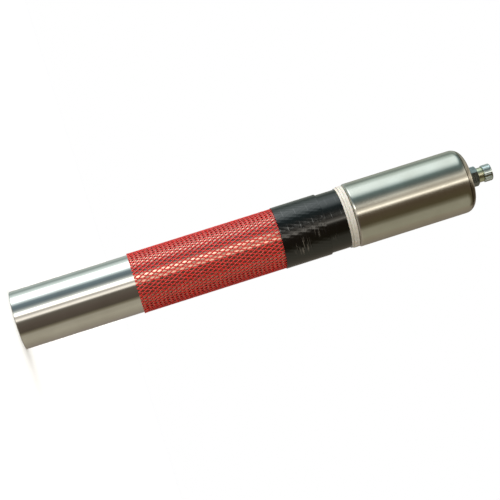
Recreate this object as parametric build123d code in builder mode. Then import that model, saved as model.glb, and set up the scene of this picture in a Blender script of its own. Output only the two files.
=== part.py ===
"""Tubular pneumatic post driver, standing on its mouth with the air inlet at the top.

Millimetres. The origin is the centre of the mouth's rim and +Z runs up the tool's axis to the inlet.
Every sub-part is turned or drilled about Z, is drawn where it sits in the tool, and goes to its own file.
"""

import os
from build123d import *

os.makedirs("parts", exist_ok=True)

# Fits and clearances
fit = 0.05  # radial clearance of a part that is fitted or runs in a bore
stop_gap = 0.05  # axial gap left where a moving part rests on a stop
lead_chamfer = 1.0  # lead-in on bores and edge breaks on heavy parts

# Barrel: one heavy tube, its lower half the post guide
barrel_radius = 44.45
barrel_length = 650.0
guide_radius = 38.96  # bore that the post slides in
guide_top = 255.0
chamber_radius = 39.4  # relief above the guide for the strike plate
ledge_height = 300.0  # step that carries everything inside
stack_radius = 41.0  # bore above the step
stack_outer = stack_radius - fit
exhaust_height = 514.0
exhaust_hole_radius = 3.0
exhaust_hole_count = 8

# Hand grip: net sleeve with tape wound over its upper end
skin_inner = barrel_radius + fit
net_bottom = 182.5
net_top = 474.5
net_outer = 46.7
tape_outer = 47.4
tape_bottom = 407.0
tape_step = 477.0
tape_top = 508.0
upper_tape_outer = 45.5

# Silencer rings round the exhaust holes, low to high: bottom, top, outer radius
ring_inner = barrel_radius + 0.15
silencer_rings = {
    "silencer_ring_lower": (508.1, 511.6, 46.95),
    "silencer_ring_middle": (511.7, 515.6, 47.95),
    "silencer_ring_upper": (515.7, 519.9, 47.95),
}

# Head: shell over the barrel's top, closed by a domed cap
shell_bottom = 520.4
shell_outer = 49.35
shell_inner = barrel_radius + fit
shell_edge_radius = 4.2
shoulder_bottom = 692.4  # the rounded shoulder starts on the shell and ends on the cap
shoulder_radius = 17.0
cap_top = shoulder_bottom + shoulder_radius
cap_land_radius = shell_outer - shoulder_radius
shell_top = 699.8
cap_bottom = 700.1
seam_chamfer = 0.45
cap_spigot_bottom = 652.0
plenum_radius = 33.0
plenum_top = 690.0
seal_groove_half_height = 1.5
inlet_hole_radius = 13.15

# Anvil and the parts round it
plate_bottom = 262.0
plate_top = 292.0
plate_radius = 38.5
seat_ring_top = 310.0
bumper_top = 316.0
anvil_spigot_radius = 24.0
anvil_flange_radius = 30.0
anvil_flange_bottom = bumper_top + stop_gap
anvil_flange_top = anvil_flange_bottom + 14.0
anvil_stem_radius = 20.0
anvil_top = anvil_flange_top + 62.0
anvil_lift = 6.0
housing_cup_radius = 36.5
housing_roof = anvil_flange_top + anvil_lift + stop_gap
housing_top = 384.0
seal_height = 358.0
seal_section_radius = 1.6
plate_screw_radius = 6.0
plate_screw_head_radius = 9.0
plate_screw_head_height = 12.0
plate_screw_top = 318.0
plate_screw_sunk = 2.0
plate_screw_play = 0.3
plate_screw_head_play = 0.4
plate_counterbore_top = plate_bottom + plate_screw_sunk + plate_screw_head_height
plate_screw_key = 5.0  # half the socket's width across flats
plate_screw_key_depth = 6.0

# Cylinder and hammer
cylinder_bore = 27.5
cylinder_outer = 37.0
cylinder_top = 590.0
cylinder_flange = 8.0
port_heights = (450.0, 525.0)
port_count = 6
port_radius = 4.0
passage_radius = 1.6
cross_radius = 1.4  # drillings that cross the return passages
passage_circle = 32.25
passage_angles = (30, 150, 270)
return_height = housing_top + 4.0
hammer_radius = cylinder_bore - fit
hammer_bottom = anvil_top + stop_gap
hammer_length = 120.0
hammer_ring_offsets = (12.0, 105.0)
hammer_ring_height = 3.0
hammer_ring_inner = 25.2
hammer_ring_outer = cylinder_bore - 0.02
hammer_groove_radius = 25.0
hammer_ring_split = 1.2
hammer_ring_cut = 8.0  # length of the cut that splits a ring, centred on its rim

# Valve chest
valve_seat_top = 606.0
valve_cap_top = 632.0
valve_pocket_radius = 19.0
valve_pocket_top = 611.15
valve_port_radius = 6.0
disc_radius = 18.5
disc_thickness = 3.0
disc_notch_radius = 3.5
gallery_height = 617.0
feed_hole_radius = 2.2
feed_circle = 16.0
feed_count = 6
dowel_radius = 2.0
dowel_circle = 33.0
dowel_angles = (90, 210)
dowel_bottom = 583.5
dowel_top = 614.5
spring_rise = 3.0
spring_thickness = 1.5
spring_inner = 34.0
spring_outer = 40.6

# Air inlet
washer_thickness = 2.0
washer_outer = 16.2
hex_bottom = cap_top + washer_thickness
hex_top = 725.0
hex_across_flats = 27.0
hex_turn = 8.0
stub_bottom = 694.0
stub_radius = inlet_hole_radius - fit
adapter_thread_radius = 10.4
adapter_thread_bottom = 708.5
adapter_collar_radius = 11.3
adapter_collar_top = 734.0
spigot_radius = 8.6
spigot_top = 739.0
air_bore_radius = 5.5
nut_bottom = 734.1
nut_top = 747.5
nut_radius = 13.1
nut_shoulder_top = 736.3
nut_relief_top = 739.9
nut_relief_radius = 10.0
nut_thread_radius = 9.32
nut_thread_top = 746.9
nut_flute_count = 18
nut_flute_radius = 1.1
clip_bottom = 736.6
clip_thickness = 1.3
clip_inner = 7.55
clip_outer = 9.2
nut_seal_bottom = 737.8
nut_seal_thickness = 1.4
nut_seal_outer = 8.0
nut_top_rounding = 2.2
nut_flute_outset = 0.4
nut_flute_stop = 3.0  # the flutes end this far below the nut's top
clip_gap = 2.0
clip_cut = 5.0  # length of the cut that opens the clip, centred on its rim
hex_corner_drop = 3.5  # height and reach of the cone that breaks the hexagon's corners
hex_corner_reach = 6.0
bushing_bore = 8.0
strainer_outer = 7.2
strainer_rim = 7.9
strainer_inner = 6.6
strainer_floor = 0.6


def turned(*points):
    """Half section in the XZ plane, from (radius, height) points, ready to be revolved about Z."""
    with BuildSketch(Plane.XZ) as section:
        with BuildLine():
            Polyline(*points, close=True)
        make_face()
    return section.sketch


def shoulder(height):
    """Point of the head's rounded shoulder at a height, as radius and height."""
    return (cap_land_radius + (shoulder_radius**2 - (height - shoulder_bottom) ** 2) ** 0.5, height)


def outward(angle):
    """Unit vector pointing away from Z at an angle in degrees."""
    return Vector(1, 0, 0).rotate(Axis.Z, angle)


def radial_plane(angle, height, distance=0.0):
    """Plane at a height whose normal points away from Z, its origin at a distance from Z."""
    return Plane(origin=outward(angle) * distance + Vector(0, 0, height), z_dir=outward(angle))


def even_angles(count):
    """Angles in degrees of equal steps round a full turn."""
    return [360 / count * step for step in range(count)]


def drill_radial(radius, height, angle, start, end):
    """Cut a round hole in the current part, from one distance from Z to another."""
    with Locations(radial_plane(angle, height, start)):
        Cylinder(radius, end - start, align=(Align.CENTER, Align.CENTER, Align.MIN), mode=Mode.SUBTRACT)


def drill_axial(radius, bottom, top, place):
    """Cut a round hole in the current part, parallel to Z, at a place in plan."""
    with Locations(Vector(place.X, place.Y, bottom)):
        Cylinder(radius, top - bottom, align=(Align.CENTER, Align.CENTER, Align.MIN), mode=Mode.SUBTRACT)


def save(piece, label):
    """Label a finished sub-part and write it to its own file."""
    piece.part.label = label
    export_step(piece.part, f"parts/{label}.step")


# Barrel tube: guide bore, strike-plate chamber, step and upper bore, drilled for the exhaust
with BuildPart() as barrel_tube:
    revolve(
        turned(
            (guide_radius + lead_chamfer, 0),
            (barrel_radius - lead_chamfer, 0),
            (barrel_radius, lead_chamfer),
            (barrel_radius, barrel_length),
            (stack_radius, barrel_length),
            (stack_radius, ledge_height),
            (chamber_radius, ledge_height),
            (chamber_radius, guide_top),
            (guide_radius, guide_top),
            (guide_radius, lead_chamfer),
        ),
        axis=Axis.Z,
    )
    for angle in even_angles(exhaust_hole_count):
        drill_radial(exhaust_hole_radius, exhaust_height, angle, stack_radius - 2, barrel_radius + 2)
save(barrel_tube, "barrel_tube")

# Net sleeve: plain tube of the netting's own thickness
with BuildPart() as netting_sleeve:
    with BuildSketch(Plane.XY.offset(net_bottom)):
        Circle(net_outer)
        Circle(skin_inner, mode=Mode.SUBTRACT)
    extrude(amount=net_top - net_bottom)
save(netting_sleeve, "netting_sleeve")

# Lower tape: wound over the net's end and closed down on the barrel above it
with BuildPart() as grip_tape_lower:
    revolve(
        turned(
            (net_outer + fit, tape_bottom),
            (tape_outer, tape_bottom),
            (tape_outer, tape_step),
            (skin_inner, tape_step),
            (skin_inner, net_top + fit),
            (net_outer + fit, net_top + fit),
        ),
        axis=Axis.Z,
    )
save(grip_tape_lower, "grip_tape_lower")

# Upper tape: wound straight on the barrel
with BuildPart() as grip_tape_upper:
    with BuildSketch(Plane.XY.offset(tape_step)):
        Circle(upper_tape_outer)
        Circle(skin_inner, mode=Mode.SUBTRACT)
    extrude(amount=tape_top - tape_step)
save(grip_tape_upper, "grip_tape_upper")

# Silencer rings: porous plastic rings stacked over the exhaust holes
for label, (ring_bottom, ring_top, ring_radius) in silencer_rings.items():
    with BuildPart() as silencer_ring:
        with BuildSketch(Plane.XY.offset(ring_bottom)):
            Circle(ring_radius)
            Circle(ring_inner, mode=Mode.SUBTRACT)
        extrude(amount=ring_top - ring_bottom)
        rim = silencer_ring.edges().filter_by(GeomType.CIRCLE).group_by(lambda edge: edge.radius)[-1]
        fillet(rim, 0.5)
    save(silencer_ring, label)

# Head shell: tube over the barrel's top, with a rounded lower edge, the shoulder's start and a groove for its seal
head_seal_section = 1.25
head_seal_height = shell_bottom + 12.0
head_seal_groove = shell_inner + 2 * head_seal_section + fit
shell_edge = shoulder(shell_top - seam_chamfer)
with BuildPart() as head_shell:
    with BuildSketch(Plane.XZ):
        with BuildLine():
            Polyline(
                (shell_edge[0] - seam_chamfer, shell_top),
                (shell_inner, shell_top),
                (shell_inner, head_seal_height + seal_groove_half_height),
                (head_seal_groove, head_seal_height + seal_groove_half_height),
                (head_seal_groove, head_seal_height - seal_groove_half_height),
                (shell_inner, head_seal_height - seal_groove_half_height),
                (shell_inner, shell_bottom),
                (shell_outer, shell_bottom),
                (shell_outer, shoulder_bottom),
            )
            RadiusArc((shell_outer, shoulder_bottom), shell_edge, -shoulder_radius)
            Line(shell_edge, (shell_edge[0] - seam_chamfer, shell_top))
        make_face()
    revolve(axis=Axis.Z)
    lower_rim = head_shell.edges().filter_by(GeomType.CIRCLE).group_by(Axis.Z)[0].sort_by(SortBy.RADIUS)[-1]
    fillet(lower_rim, shell_edge_radius)
save(head_shell, "head_shell")

# Head seal: O-ring between barrel and shell
with BuildPart() as head_seal:
    with BuildSketch(Plane.XZ):
        with Locations((shell_inner + head_seal_section, head_seal_height)):
            Circle(head_seal_section)
    revolve(axis=Axis.Z)
save(head_seal, "head_seal")

# Head cap: domed end with a spigot in the shell, a skirt in the barrel and the tapped inlet
cap_seal_section = 1.25
cap_seal_height = 684.0
cap_spigot_radius = shell_inner - fit
cap_groove_radius = cap_spigot_radius - 2 * cap_seal_section - fit
cap_skirt_bottom = valve_cap_top + spring_rise + stop_gap
cap_edge = shoulder(cap_bottom + seam_chamfer)
with BuildPart() as head_cap:
    with BuildSketch(Plane.XZ):
        with BuildLine():
            Polyline(
                (cap_land_radius, cap_top),
                (inlet_hole_radius, cap_top),
                (inlet_hole_radius, plenum_top),
                (plenum_radius, plenum_top),
                (plenum_radius, cap_skirt_bottom),
                (stack_outer, cap_skirt_bottom),
                (stack_outer, cap_spigot_bottom),
                (cap_spigot_radius, cap_spigot_bottom),
                (cap_spigot_radius, cap_seal_height - seal_groove_half_height),
                (cap_groove_radius, cap_seal_height - seal_groove_half_height),
                (cap_groove_radius, cap_seal_height + seal_groove_half_height),
                (cap_spigot_radius, cap_seal_height + seal_groove_half_height),
                (cap_spigot_radius, cap_bottom),
                (cap_edge[0] - seam_chamfer, cap_bottom),
                cap_edge,
            )
            RadiusArc(cap_edge, (cap_land_radius, cap_top), -shoulder_radius)
        make_face()
    revolve(axis=Axis.Z)
save(head_cap, "head_cap")

# Cap seal: O-ring between cap and shell
with BuildPart() as cap_seal:
    with BuildSketch(Plane.XZ):
        with Locations((cap_groove_radius + fit / 2 + cap_seal_section, cap_seal_height)):
            Circle(cap_seal_section)
    revolve(axis=Axis.Z)
save(cap_seal, "cap_seal")

# Seat ring: hardened ring on the barrel's step, with a groove for the wiper
wiper_bottom = 303.0
wiper_top = 307.0
wiper_outer = 28.0
with BuildPart() as seat_ring:
    revolve(
        turned(
            (anvil_spigot_radius + fit, ledge_height),
            (stack_outer, ledge_height),
            (stack_outer, seat_ring_top),
            (anvil_spigot_radius + fit, seat_ring_top),
            (anvil_spigot_radius + fit, wiper_top),
            (wiper_outer, wiper_top),
            (wiper_outer, wiper_bottom),
            (anvil_spigot_radius + fit, wiper_bottom),
        ),
        axis=Axis.Z,
    )
save(seat_ring, "seat_ring")

# Wiper ring: keeps grit off the anvil's lower end
with BuildPart() as wiper_ring:
    with BuildSketch(Plane.XY.offset(wiper_bottom + fit)):
        Circle(wiper_outer - fit)
        Circle(anvil_spigot_radius + fit / 2, mode=Mode.SUBTRACT)
    extrude(amount=wiper_top - wiper_bottom - 2 * fit)
save(wiper_ring, "wiper_ring")

# Bumper ring: takes the anvil's flange when there is no post under it
with BuildPart() as bumper_ring:
    with BuildSketch(Plane.XY.offset(seat_ring_top)):
        Circle(housing_cup_radius - 0.3)
        Circle(anvil_spigot_radius + 0.6, mode=Mode.SUBTRACT)
    extrude(amount=bumper_top - seat_ring_top)
    chamfer(bumper_ring.edges().filter_by(GeomType.CIRCLE), 0.4)
save(bumper_ring, "bumper_ring")

# Anvil: stem struck by the hammer, a flange that limits its float and a spigot for the strike plate
with BuildPart() as anvil:
    revolve(
        turned(
            (0, plate_top),
            (anvil_spigot_radius, plate_top),
            (anvil_spigot_radius, anvil_flange_bottom),
            (anvil_flange_radius, anvil_flange_bottom),
            (anvil_flange_radius, anvil_flange_top),
            (anvil_stem_radius, anvil_flange_top),
            (anvil_stem_radius, anvil_top - 2 * lead_chamfer),
            (anvil_stem_radius - 2 * lead_chamfer, anvil_top),
            (0, anvil_top),
        ),
        axis=Axis.Z,
    )
    drill_axial(plate_screw_radius + fit, plate_top, plate_screw_top + 1, Vector(0, 0, 0))
save(anvil, "anvil")

# Strike plate: replaceable face that meets the post, counterbored for its screw
with BuildPart() as strike_plate:
    revolve(
        turned(
            (plate_screw_head_radius + plate_screw_head_play, plate_bottom),
            (plate_radius - 2 * lead_chamfer, plate_bottom),
            (plate_radius, plate_bottom + 2 * lead_chamfer),
            (plate_radius, plate_top),
            (plate_screw_radius + plate_screw_play, plate_top),
            (plate_screw_radius + plate_screw_play, plate_counterbore_top),
            (plate_screw_head_radius + plate_screw_head_play, plate_counterbore_top),
        ),
        axis=Axis.Z,
    )
save(strike_plate, "strike_plate")

# Strike plate screw: socket cap screw, its head sunk below the striking face
with BuildPart() as strike_plate_screw:
    with BuildSketch(Plane.XY.offset(plate_bottom + plate_screw_sunk)):
        Circle(plate_screw_head_radius)
    extrude(amount=plate_screw_head_height)
    with BuildSketch(Plane.XY.offset(plate_counterbore_top)):
        Circle(plate_screw_radius)
    extrude(amount=plate_screw_top - plate_counterbore_top)
    with BuildSketch(Plane.XY.offset(plate_bottom + plate_screw_sunk)):
        RegularPolygon(plate_screw_key, 6, major_radius=False)
    extrude(amount=plate_screw_key_depth, mode=Mode.SUBTRACT)
save(strike_plate_screw, "strike_plate_screw")

# Anvil housing: bearing for the stem, with a cup below that clears the flange
with BuildPart() as anvil_housing:
    revolve(
        turned(
            (housing_cup_radius, seat_ring_top),
            (stack_outer, seat_ring_top),
            (stack_outer, housing_top),
            (anvil_stem_radius + fit, housing_top),
            (anvil_stem_radius + fit, seal_height + 2),
            (anvil_stem_radius + 2 * seal_section_radius + 2 * fit, seal_height + 2),
            (anvil_stem_radius + 2 * seal_section_radius + 2 * fit, seal_height - 2),
            (anvil_stem_radius + fit, seal_height - 2),
            (anvil_stem_radius + fit, housing_roof),
            (housing_cup_radius, housing_roof),
        ),
        axis=Axis.Z,
    )
save(anvil_housing, "anvil_housing")

# Anvil seal: O-ring in the housing's bore
with BuildPart() as anvil_seal:
    with BuildSketch(Plane.XZ):
        with Locations((anvil_stem_radius + fit + seal_section_radius, seal_height)):
            Circle(seal_section_radius)
    revolve(axis=Axis.Z)
save(anvil_seal, "anvil_seal")

# Cylinder: honed bore with a flange at each end, exhaust ports and drilled return passages
with BuildPart() as cylinder:
    revolve(
        turned(
            (cylinder_bore, housing_top),
            (stack_outer, housing_top),
            (stack_outer, housing_top + cylinder_flange),
            (cylinder_outer, housing_top + cylinder_flange),
            (cylinder_outer, cylinder_top - cylinder_flange),
            (stack_outer, cylinder_top - cylinder_flange),
            (stack_outer, cylinder_top),
            (cylinder_bore, cylinder_top),
        ),
        axis=Axis.Z,
    )
    for height in port_heights:
        for angle in even_angles(port_count):
            drill_radial(port_radius, height, angle, cylinder_bore - 3, cylinder_outer + 3)
    for angle in passage_angles:
        drill_axial(passage_radius, housing_top - 1, cylinder_top + 1, outward(angle) * passage_circle)
        drill_radial(cross_radius, return_height, angle, cylinder_bore - 2, passage_circle)
    for angle in dowel_angles:
        drill_axial(dowel_radius + fit, dowel_bottom - 0.5, cylinder_top + 1, outward(angle) * dowel_circle)
save(cylinder, "cylinder")

# Hammer: free steel piston with a groove near each end for a piston ring
with BuildPart() as hammer:
    with BuildSketch(Plane.XY.offset(hammer_bottom)):
        Circle(hammer_radius)
    extrude(amount=hammer_length)
    chamfer(hammer.edges().filter_by(GeomType.CIRCLE), 2 * lead_chamfer)
    for offset_height in hammer_ring_offsets:
        with BuildSketch(Plane.XY.offset(hammer_bottom + offset_height)):
            Circle(hammer_radius + 1)
            Circle(hammer_groove_radius, mode=Mode.SUBTRACT)
        extrude(amount=hammer_ring_height + 2 * stop_gap, mode=Mode.SUBTRACT)
save(hammer, "hammer")

# Hammer rings: two split piston rings
with BuildPart() as hammer_rings:
    for offset_height in hammer_ring_offsets:
        with BuildSketch(Plane.XY.offset(hammer_bottom + offset_height + stop_gap)):
            Circle(hammer_ring_outer)
            Circle(hammer_ring_inner, mode=Mode.SUBTRACT)
            with Locations((hammer_ring_outer, 0)):
                Rectangle(hammer_ring_cut, hammer_ring_split, mode=Mode.SUBTRACT)
        extrude(amount=hammer_ring_height)
save(hammer_rings, "hammer_rings")

# Valve seat: lower half of the valve chest
with BuildPart() as valve_seat:
    with BuildSketch(Plane.XY.offset(cylinder_top)):
        Circle(stack_outer)
        Circle(valve_port_radius, mode=Mode.SUBTRACT)
    extrude(amount=valve_seat_top - cylinder_top)
    for angle in passage_angles:
        drill_axial(passage_radius, cylinder_top - 1, valve_seat_top + 1, outward(angle) * passage_circle)
    for angle in dowel_angles:
        drill_axial(dowel_radius + fit, cylinder_top - 1, valve_seat_top + 1, outward(angle) * dowel_circle)
save(valve_seat, "valve_seat")

# Valve cap: upper half of the chest, with the disc's pocket, the feed holes and the return galleries
with BuildPart() as valve_cap:
    revolve(
        turned(
            (valve_pocket_radius, valve_seat_top),
            (stack_outer, valve_seat_top),
            (stack_outer, valve_cap_top),
            (0, valve_cap_top),
            (0, gallery_height + 2 * passage_radius),
            (valve_port_radius, gallery_height + 2 * passage_radius),
            (valve_port_radius, valve_pocket_top),
            (valve_pocket_radius, valve_pocket_top),
        ),
        axis=Axis.Z,
    )
    for angle in passage_angles:
        drill_axial(passage_radius, valve_seat_top - 1, gallery_height + 2.5, outward(angle) * passage_circle)
        drill_radial(cross_radius, gallery_height, angle, valve_port_radius - 2, stack_outer + 1)
    for angle in even_angles(feed_count):
        drill_axial(feed_hole_radius, valve_pocket_top - 1, valve_cap_top + 1, outward(angle) * feed_circle)
    for angle in dowel_angles:
        drill_axial(dowel_radius + fit, valve_seat_top - 1, dowel_top + 0.5, outward(angle) * dowel_circle)
save(valve_cap, "valve_cap")

# Disc valve: loose disc that lifts between the two seats, notched for the air to pass
with BuildPart() as disc_valve:
    with BuildSketch(Plane.XY.offset(valve_seat_top + stop_gap)):
        Circle(disc_radius)
        with PolarLocations(disc_radius, feed_count):
            Circle(disc_notch_radius, mode=Mode.SUBTRACT)
    extrude(amount=disc_thickness)
save(disc_valve, "disc_valve")

# Dowel pins: line up cylinder, seat and cap
with BuildPart() as dowel_pins:
    for angle in dowel_angles:
        with Locations(outward(angle) * dowel_circle + Vector(0, 0, dowel_bottom)):
            Cylinder(
                dowel_radius,
                dowel_top - dowel_bottom,
                align=(Align.CENTER, Align.CENTER, Align.MIN),
            )
save(dowel_pins, "dowel_pins")

# Disc spring: keeps the stack clamped under the head cap
with BuildPart() as disc_spring:
    revolve(
        turned(
            (spring_outer, valve_cap_top),
            (spring_outer, valve_cap_top + spring_thickness),
            (spring_inner, valve_cap_top + spring_rise),
            (spring_inner, valve_cap_top + spring_rise - spring_thickness),
        ),
        axis=Axis.Z,
    )
save(disc_spring, "disc_spring")

# Sealing washer under the bushing's hexagon
with BuildPart() as inlet_washer:
    with BuildSketch(Plane.XY.offset(cap_top)):
        Circle(washer_outer)
        Circle(inlet_hole_radius + 0.2, mode=Mode.SUBTRACT)
    extrude(amount=washer_thickness)
save(inlet_washer, "inlet_washer")

# Inlet bushing: hexagon with a threaded stub below and a tapped bore above
with BuildPart() as inlet_bushing:
    with BuildSketch(Plane.XY.offset(hex_bottom)):
        RegularPolygon(hex_across_flats / 2, 6, major_radius=False, rotation=hex_turn)
    extrude(amount=hex_top - hex_bottom)
    with BuildSketch(Plane.XZ):
        with BuildLine():
            Polyline(
                (hex_across_flats / 2, hex_top),
                (hex_across_flats / 2 + hex_corner_reach, hex_top),
                (hex_across_flats / 2 + hex_corner_reach, hex_top - hex_corner_drop),
                close=True,
            )
        make_face()
    revolve(axis=Axis.Z, mode=Mode.SUBTRACT)
    with BuildSketch(Plane.XY.offset(stub_bottom)):
        Circle(stub_radius)
    extrude(amount=hex_bottom - stub_bottom)
    drill_axial(bushing_bore, stub_bottom, adapter_thread_bottom, Vector(0, 0, 0))
    drill_axial(adapter_thread_radius + fit, adapter_thread_bottom - 0.5, hex_top, Vector(0, 0, 0))
save(inlet_bushing, "inlet_bushing")

# Inlet adapter: screwed into the bushing, with a collar and a spigot for the swivel nut
with BuildPart() as inlet_adapter:
    revolve(
        turned(
            (air_bore_radius, adapter_thread_bottom),
            (adapter_thread_radius, adapter_thread_bottom),
            (adapter_thread_radius, hex_top + fit),
            (adapter_collar_radius, hex_top + fit),
            (adapter_collar_radius, adapter_collar_top - 1),
            (adapter_collar_radius - 1, adapter_collar_top),
            (spigot_radius, adapter_collar_top),
            (spigot_radius, clip_bottom - stop_gap),
            (clip_inner - fit, clip_bottom - stop_gap),
            (clip_inner - fit, clip_bottom + clip_thickness + stop_gap),
            (spigot_radius, clip_bottom + clip_thickness + stop_gap),
            (spigot_radius, spigot_top),
            (nut_seal_outer + fit, spigot_top),
            (nut_seal_outer + fit, nut_seal_bottom + 0.5),
            (air_bore_radius, nut_seal_bottom + 0.5),
        ),
        axis=Axis.Z,
    )
save(inlet_adapter, "inlet_adapter")

# Inlet strainer: cup that hangs in the bushing under the adapter
with BuildPart() as inlet_strainer:
    revolve(
        turned(
            (0, stub_bottom + 1),
            (strainer_outer, stub_bottom + 1),
            (strainer_outer, adapter_thread_bottom - 1),
            (strainer_rim, adapter_thread_bottom - 1),
            (strainer_rim, adapter_thread_bottom - 2 * stop_gap),
            (strainer_inner, adapter_thread_bottom - 2 * stop_gap),
            (strainer_inner, stub_bottom + 1 + strainer_floor),
            (0, stub_bottom + 1 + strainer_floor),
        ),
        axis=Axis.Z,
    )
save(inlet_strainer, "inlet_strainer")

# Swivel nut: turns on the adapter's spigot, tapped for the hose end and fluted outside
with BuildPart() as swivel_nut:
    revolve(
        turned(
            (spigot_radius + fit, nut_bottom),
            (nut_radius - 0.5, nut_bottom),
            (nut_radius, nut_bottom + 0.5),
            (nut_radius, nut_top),
            (nut_thread_radius + nut_top - nut_thread_top, nut_top),
            (nut_thread_radius, nut_thread_top),
            (nut_thread_radius, nut_relief_top),
            (nut_relief_radius, nut_relief_top),
            (nut_relief_radius, nut_shoulder_top),
            (spigot_radius + fit, nut_shoulder_top),
        ),
        axis=Axis.Z,
    )
    outer_top_rim = swivel_nut.edges().filter_by(GeomType.CIRCLE).group_by(Axis.Z)[-1].sort_by(SortBy.RADIUS)[-1]
    fillet(outer_top_rim, nut_top_rounding)
    for angle in even_angles(nut_flute_count):
        place = outward(angle) * (nut_radius + nut_flute_outset)
        drill_axial(nut_flute_radius, nut_bottom - 1, nut_top - nut_flute_stop, place)
save(swivel_nut, "swivel_nut")

# Swivel clip: split wire ring in the spigot's groove that holds the nut on
with BuildPart() as swivel_clip:
    with BuildSketch(Plane.XY.offset(clip_bottom)):
        Circle(clip_outer)
        Circle(clip_inner, mode=Mode.SUBTRACT)
        with Locations((clip_outer, 0)):
            Rectangle(clip_cut, clip_gap, mode=Mode.SUBTRACT)
    extrude(amount=clip_thickness)
save(swivel_clip, "swivel_clip")

# Nut seal: flat washer let into the spigot's end
with BuildPart() as nut_seal:
    with BuildSketch(Plane.XY.offset(nut_seal_bottom + 0.5)):
        Circle(nut_seal_outer)
        Circle(air_bore_radius + 0.2, mode=Mode.SUBTRACT)
    extrude(amount=nut_seal_thickness)
save(nut_seal, "nut_seal")
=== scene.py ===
"""Looks of a handle-less, air-powered post driver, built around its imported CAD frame.

The tool stands upright on its open mouth with its axis on Z. Sizes in the classes are in
millimetres, heights are measured from the mouth, and every mesh is written in metres.
"""

import logging
import math
from collections.abc import Callable
from dataclasses import dataclass, field
from enum import Enum

import bmesh
import bpy
import numpy as np
from mathutils import Matrix


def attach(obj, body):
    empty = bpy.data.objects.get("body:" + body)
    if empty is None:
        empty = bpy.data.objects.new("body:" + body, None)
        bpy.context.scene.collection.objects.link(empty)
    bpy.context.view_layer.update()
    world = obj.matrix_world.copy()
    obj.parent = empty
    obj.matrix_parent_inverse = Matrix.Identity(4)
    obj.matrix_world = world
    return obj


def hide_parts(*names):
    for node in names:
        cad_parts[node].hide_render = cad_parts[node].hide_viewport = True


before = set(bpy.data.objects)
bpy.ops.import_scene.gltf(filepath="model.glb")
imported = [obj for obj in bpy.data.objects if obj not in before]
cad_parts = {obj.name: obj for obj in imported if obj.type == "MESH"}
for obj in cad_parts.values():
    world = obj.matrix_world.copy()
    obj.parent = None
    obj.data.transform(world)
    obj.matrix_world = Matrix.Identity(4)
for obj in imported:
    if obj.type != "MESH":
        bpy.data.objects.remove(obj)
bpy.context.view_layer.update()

LOG = logging.getLogger("post_driver")
MM = 0.001
WELD = 1e-7  # metres within which two points are one
HOLD_MM = 0.25  # how far past a rounding a support point holds the flat
SHARP_DEG = 35.0  # edges sharper than this stay crisp
TURN = 2 * math.pi
WHITE = (1.0, 1.0, 1.0, 1.0)
NOISE_SPAN = (0.3, 0.7)  # the range that nearly all of a noise's values lie in
SCRATCH_SPAN = (0.66, 0.74)  # noise values over which a scratch comes in
CREASE_HIGHLIGHT_SPAN = (0.56, 0.76)  # noise values over which a painted crease highlight comes in
BUMP_STRENGTH = 0.5

Tree = bpy.types.NodeTree
Socket = bpy.types.NodeSocket
Colour = tuple[float, float, float, float]
Span = tuple[float, float]
Outline = list[tuple[float, float]]
Shape = Callable[[np.ndarray, np.ndarray, np.ndarray], tuple[np.ndarray, np.ndarray]]


# ---------------------------------------------------------------- small tools


def linear(hex_colour: str) -> Colour:
    """Turns an sRGB hex colour into linear light.

    Args:
        hex_colour: A colour such as "#c4160e".

    Returns:
        Red, green, blue and an alpha of 1.
    """
    parts = [int(hex_colour[i : i + 2], 16) / 255 for i in (1, 3, 5)]
    light = [c / 12.92 if c <= 0.04045 else ((c + 0.055) / 1.055) ** 2.4 for c in parts]
    return (light[0], light[1], light[2], 1.0)


def add_node(
    tree: Tree,
    kind: str,
    inputs: dict[str | int, object] | None = None,
    stops: list[tuple] | None = None,
    **settings: object,
) -> bpy.types.Node:
    """Adds a node with its settings, its input values or links, and its ramp's stops.

    Args:
        tree: The tree that gets the node.
        kind: The node's type name.
        inputs: Values for the sockets, or the output sockets that feed them.
        stops: Position, hex colour and, if it isn't 1, gain of each stop, for a node with a ramp.
        settings: The node's own properties.

    Returns:
        The new node.
    """
    node = tree.nodes.new(kind)
    for name, value in settings.items():
        setattr(node, name, value)
    for key, value in (inputs or {}).items():
        if isinstance(value, bpy.types.NodeSocket):
            tree.links.new(value, node.inputs[key])
        else:
            node.inputs[key].default_value = value
    if stops:
        ramp = node.color_ramp
        while len(ramp.elements) < len(stops):
            ramp.elements.new(1.0)
        for element, (position, colour, *gain) in zip(ramp.elements, stops, strict=True):
            element.position = position
            element.color = [c * (gain[0] if gain else 1.0) for c in linear(colour)[:3]] + [1.0]
    return node


def calculated(tree: Tree, operation: str, *values: Socket | float) -> Socket:
    """Adds one step of arithmetic on numbers.

    Args:
        tree: The tree that gets the step.
        operation: The step's name, such as "MULTIPLY".
        values: Its numbers, or the sockets that give them.

    Returns:
        The result's socket.
    """
    made = add_node(tree, "ShaderNodeMath", dict(enumerate(values)), operation=operation)
    return made.outputs["Value"]


def vector_step(
    tree: Tree, operation: str, inputs: dict[str | int, object], output: str = "Vector"
) -> Socket:
    """Adds one step of arithmetic on vectors.

    Args:
        tree: The tree that gets the step.
        operation: The step's name, such as "ADD".
        inputs: Values for the step's sockets, or the output sockets that feed them.
        output: Which of its outputs is wanted.

    Returns:
        The result's socket.
    """
    return add_node(tree, "ShaderNodeVectorMath", inputs, operation=operation).outputs[output]


def remapped(
    tree: Tree, value: Socket, source: Span, target: Span, **settings: object
) -> Socket:
    """Moves a number from one range to another and holds it there.

    Args:
        tree: The tree that gets the step.
        value: The socket that gives the number.
        source: The range that it comes from.
        target: The range that it goes to.
        settings: The node's own properties.

    Returns:
        The result's socket.
    """
    ends = {"From Min": source[0], "From Max": source[1], "To Min": target[0], "To Max": target[1]}
    return add_node(tree, "ShaderNodeMapRange", {"Value": value, **ends}, **settings).outputs["Result"]


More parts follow.
